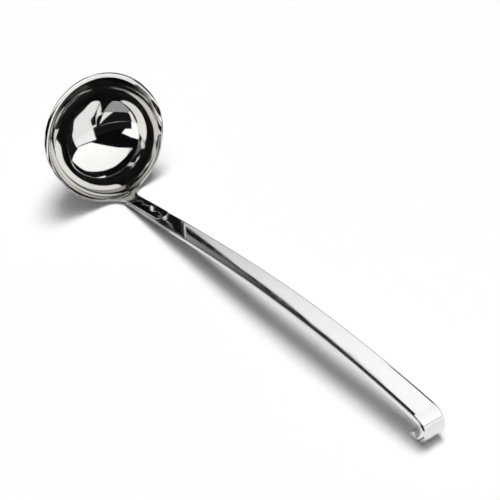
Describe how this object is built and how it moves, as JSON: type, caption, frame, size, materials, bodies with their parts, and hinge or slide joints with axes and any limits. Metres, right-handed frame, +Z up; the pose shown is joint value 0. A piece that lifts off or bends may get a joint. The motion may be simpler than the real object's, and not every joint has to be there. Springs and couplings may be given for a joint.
{
  "type": "soup ladle",
  "caption": "Soup ladle: a drawn steel bowl with a rolled pouring lip, spot-welded by its tab to a pressed channel handle that ends in a hanging hook.",
  "frame": {"origin": "on the table that the ladle lies on, under the middle of its length, in its middle plane", "axes": "+X along the handle from the bowl to the hook, +Y across, +Z up from the table"},
  "size_m": [0.3732, 0.0886, 0.0848],
  "materials": {
    "bowl_steel": "mirror polished",
    "handle_steel": "mirror polished",
    "weld_steel": "as welded"
  },
  "bodies": {
    "root": {"bowl": "bowl_steel", "handle": "handle_steel", "spot_welds": "weld_steel"}
  },
  "joints": []
}
